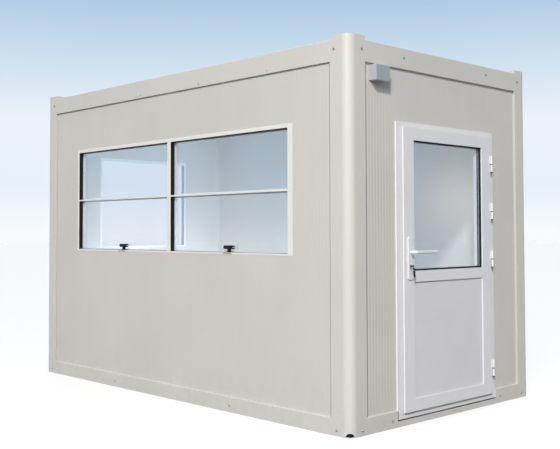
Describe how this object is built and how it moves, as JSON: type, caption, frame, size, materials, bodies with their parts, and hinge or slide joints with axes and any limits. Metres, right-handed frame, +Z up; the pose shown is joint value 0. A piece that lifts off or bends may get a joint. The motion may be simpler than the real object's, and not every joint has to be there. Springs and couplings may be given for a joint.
{
  "type": "guard booth",
  "caption": "Steel-framed cabin with sandwich-panel walls, a wide front window band, an end window and a half-glazed hinged door, used as a guard booth.",
  "frame": {"origin": "centre of the footprint over the corner posts, on the ground", "axes": "+Z up, +X along the booth towards the door end, -Y out of the front with the window band"},
  "size_m": [3.929, 2.146, 2.6],
  "materials": {
    "frame_paint": "satin",
    "panel_skin": "satin",
    "white_plastic": "semi-gloss",
    "hinge_white": "gloss",
    "black_rubber": "matte",
    "black_plastic": "matte",
    "glass": "clear",
    "floor_vinyl": "matte",
    "roof_zinc": "satin",
    "box_plastic": "satin",
    "lock_metal": "brushed"
  },
  "bodies": {
    "booth": {"post_front_left": "frame_paint", "post_front_right": "frame_paint", "post_rear_right": "frame_paint", "post_rear_left": "frame_paint", "drain_pipes": "black_rubber", "bottom_beam_front": "frame_paint", "bottom_beam_right": "frame_paint", "bottom_beam_rear": "frame_paint", "bottom_beam_left": "frame_paint", "top_beam_front": "frame_paint", "top_beam_right": "frame_paint", "top_beam_rear": "frame_paint", "top_beam_left": "frame_paint", "floor_joists": "frame_paint", "floor_board": "floor_vinyl", "ceiling_panel": "panel_skin", "roof_sheet": "roof_zinc", "front_wall_left": "panel_skin", "front_wall_right": "panel_skin", "front_wall_lower": "panel_skin", "front_wall_upper": "panel_skin", "left_wall_front": "panel_skin", "left_wall_rear": "panel_skin", "left_wall_lower": "panel_skin", "left_wall_upper": "panel_skin", "rear_wall": "panel_skin", "right_wall_front": "panel_skin", "right_wall_rear": "panel_skin", "right_wall_over_door": "panel_skin", "front_window_frame": "white_plastic", "front_window_tracks": "black_rubber", "front_window_glass": "glass", "front_window_latches": "black_plastic", "left_window_frame": "white_plastic", "left_window_glass": "glass", "door_frame": "white_plastic", "frame_hinge_halves": "hinge_white", "connection_box": "box_plastic"},
    "door": {"door_leaf": "white_plastic", "door_glass": "glass", "door_glass_seal": "black_rubber", "door_lower_panel": "white_plastic", "door_hinge_halves": "hinge_white", "handle_plates": "white_plastic", "lock_cylinder": "lock_metal"},
    "handle": {"door_handle": "white_plastic"}
  },
  "joints": [
    {"name": "door_hinge", "type": "hinge", "parent": "booth", "child": "door", "pos_m": [1.947, 0.537, 1.05], "axis": [0, 0, 1], "range_deg": [0, 170]},
    {"name": "handle_turn", "type": "hinge", "parent": "door", "child": "handle", "pos_m": [1.9055, -0.472, 1.174], "axis": [-1, 0, 0], "range_deg": [0, 40], "stiffness_Nm_per_rad": 2, "springref_deg": -28.65}
  ]
}
